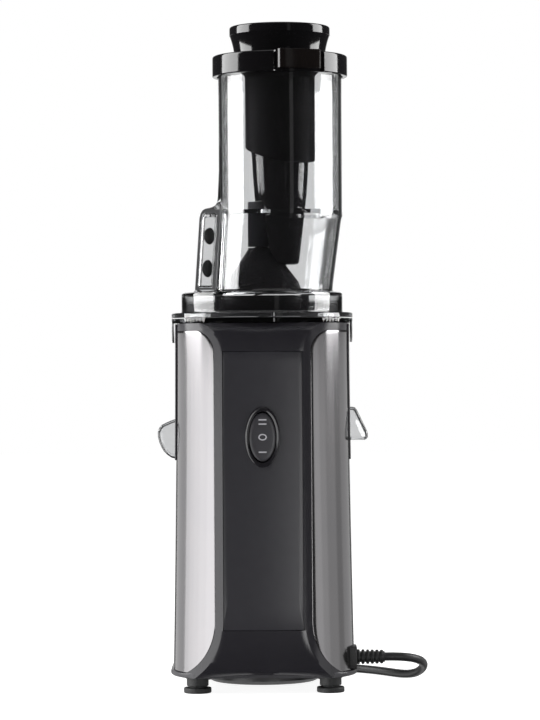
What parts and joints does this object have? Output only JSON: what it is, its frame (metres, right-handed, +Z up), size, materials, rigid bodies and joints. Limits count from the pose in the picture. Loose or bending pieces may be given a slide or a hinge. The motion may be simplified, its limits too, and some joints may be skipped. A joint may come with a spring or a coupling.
{
  "type": "cold press juicer",
  "caption": "Tall slow juicer: motor tower with silver side panels and a rocker switch, sunken strainer bowl with juice and pulp spouts, clear hopper, lid with sleeve, pusher.",
  "frame": {"origin": "middle of the footprint at the level of the surface it stands on", "axes": "+Z up; -Y the side with the rocker switch; -X the juice spout; +X the pulp spout and the mains cord"},
  "size_m": [0.1954, 0.2311, 0.48],
  "materials": {
    "gloss_black": "polished black ABS",
    "clear_plastic": "clear moulded copolyester",
    "seal_silicone": "dark grey silicone",
    "black_silicone": "black silicone",
    "bushing_black": "black acetal",
    "steel": "bright stainless steel",
    "strainer_plastic": "dark moulded plastic",
    "cover_black": "polished black ABS",
    "frame_black": "semi-gloss black ABS",
    "panel_silver": "satin silver",
    "panel_satin": "satin black",
    "inner_plastic": "dark moulded plastic",
    "trim_gray": "dark grey moulded plastic",
    "rubber_black": "moulded rubber",
    "switch_black": "satin black nylon",
    "board_green": "solder mask",
    "motor_steel": "zinc-plated steel",
    "rotor_copper": "varnished copper and steel",
    "gearbox_alloy": "die-cast alloy",
    "pinion_brass": "machined brass",
    "gear_nylon": "natural nylon",
    "cord_black": "black flexible PVC"
  },
  "bodies": {
    "base": {"housing": "frame_black", "panel_left": "panel_silver", "panel_right": "panel_silver", "front_panel": "panel_satin", "rear_panel": "panel_satin", "well_liner": "inner_plastic", "base_plate": "trim_gray", "vent_cover": "inner_plastic", "foot_1": "rubber_black", "foot_2": "rubber_black", "foot_3": "rubber_black", "foot_4": "rubber_black", "base_screws": "steel", "switch_bezel": "switch_black", "switch_body": "inner_plastic", "circuit_board": "board_green", "board_posts": "inner_plastic", "motor_can": "motor_steel", "stator_core": "motor_steel", "motor_bearings": "steel", "motor_mounts": "rubber_black", "gearbox_case": "gearbox_alloy", "gearbox_cover": "gearbox_alloy", "gearbox_screws": "steel", "lay_shaft": "steel", "output_bush": "pinion_brass", "cord_gland": "cord_black", "strain_relief": "cord_black", "cord": "cord_black", "cord_coil": "cord_black", "plug": "cord_black"},
    "rotor": {"rotor_shaft": "steel", "rotor_core": "rotor_copper", "motor_fan": "inner_plastic", "motor_pinion": "pinion_brass"},
    "layshaft": {"lay_gear": "gear_nylon"},
    "output": {"output_gear": "gear_nylon", "output_shaft": "steel"},
    "switch_rocker": {"rocker": "switch_black"},
    "bowl": {"bowl": "clear_plastic", "bowl_seal": "black_silicone", "strainer_frame": "strainer_plastic", "strainer_mesh": "steel", "juice_spout": "clear_plastic", "pulp_spout": "clear_plastic", "juice_cover": "cover_black", "pulp_cover": "cover_black"},
    "auger": {"auger": "gloss_black"},
    "hopper": {"hopper": "clear_plastic", "hopper_bushing": "bushing_black", "hopper_seal": "seal_silicone"},
    "lid": {"lid": "gloss_black", "lid_seal": "seal_silicone", "latch_pin": "steel"},
    "latch": {"lid_latch": "gloss_black"},
    "pusher": {"pusher": "gloss_black", "pusher_cap": "gloss_black"}
  },
  "joints": [
    {"name": "rotor_spin", "type": "hinge", "parent": "base", "child": "rotor", "pos_m": [0, 0, 0], "axis": [0, 0, 1], "continuous": true},
    {"name": "layshaft_spin", "type": "hinge", "parent": "base", "child": "layshaft", "pos_m": [-0.0288, 0, 0], "axis": [0, 0, 1], "continuous": true},
    {"name": "output_spin", "type": "hinge", "parent": "base", "child": "output", "pos_m": [0, 0, 0], "axis": [0, 0, 1], "continuous": true},
    {"name": "auger_spin", "type": "hinge", "parent": "bowl", "child": "auger", "pos_m": [0, 0, 0], "axis": [0, 0, 1], "continuous": true},
    {"name": "rocker_tilt", "type": "hinge", "parent": "base", "child": "switch_rocker", "pos_m": [0, -0.05835, 0.1827], "axis": [1, 0, 0], "range_deg": [-7, 7]},
    {"name": "bowl_lift", "type": "slide", "parent": "base", "child": "bowl", "axis": [0, 0, 1], "range_m": [0, 0.11]},
    {"name": "hopper_lift", "type": "slide", "parent": "bowl", "child": "hopper", "axis": [0, 0, 1], "range_m": [0, 0.1]},
    {"name": "lid_lift", "type": "slide", "parent": "hopper", "child": "lid", "axis": [0, 0, 1], "range_m": [0, 0.085]},
    {"name": "latch_open", "type": "hinge", "parent": "lid", "child": "latch", "pos_m": [0.02714, -0.04168, 0.45685], "axis": [-0.9537, -0.3007, 0], "range_deg": [0, 20]},
    {"name": "pusher_slide", "type": "slide", "parent": "lid", "child": "pusher", "axis": [0, 0, 1], "range_m": [0, 0.16]}
  ],
  "couplings": [
    {"joint": "layshaft_spin", "follows": "rotor_spin", "ratio": -0.2},
    {"joint": "output_spin", "follows": "rotor_spin", "ratio": 0.04},
    {"joint": "auger_spin", "follows": "rotor_spin", "ratio": 0.04}
  ]
}
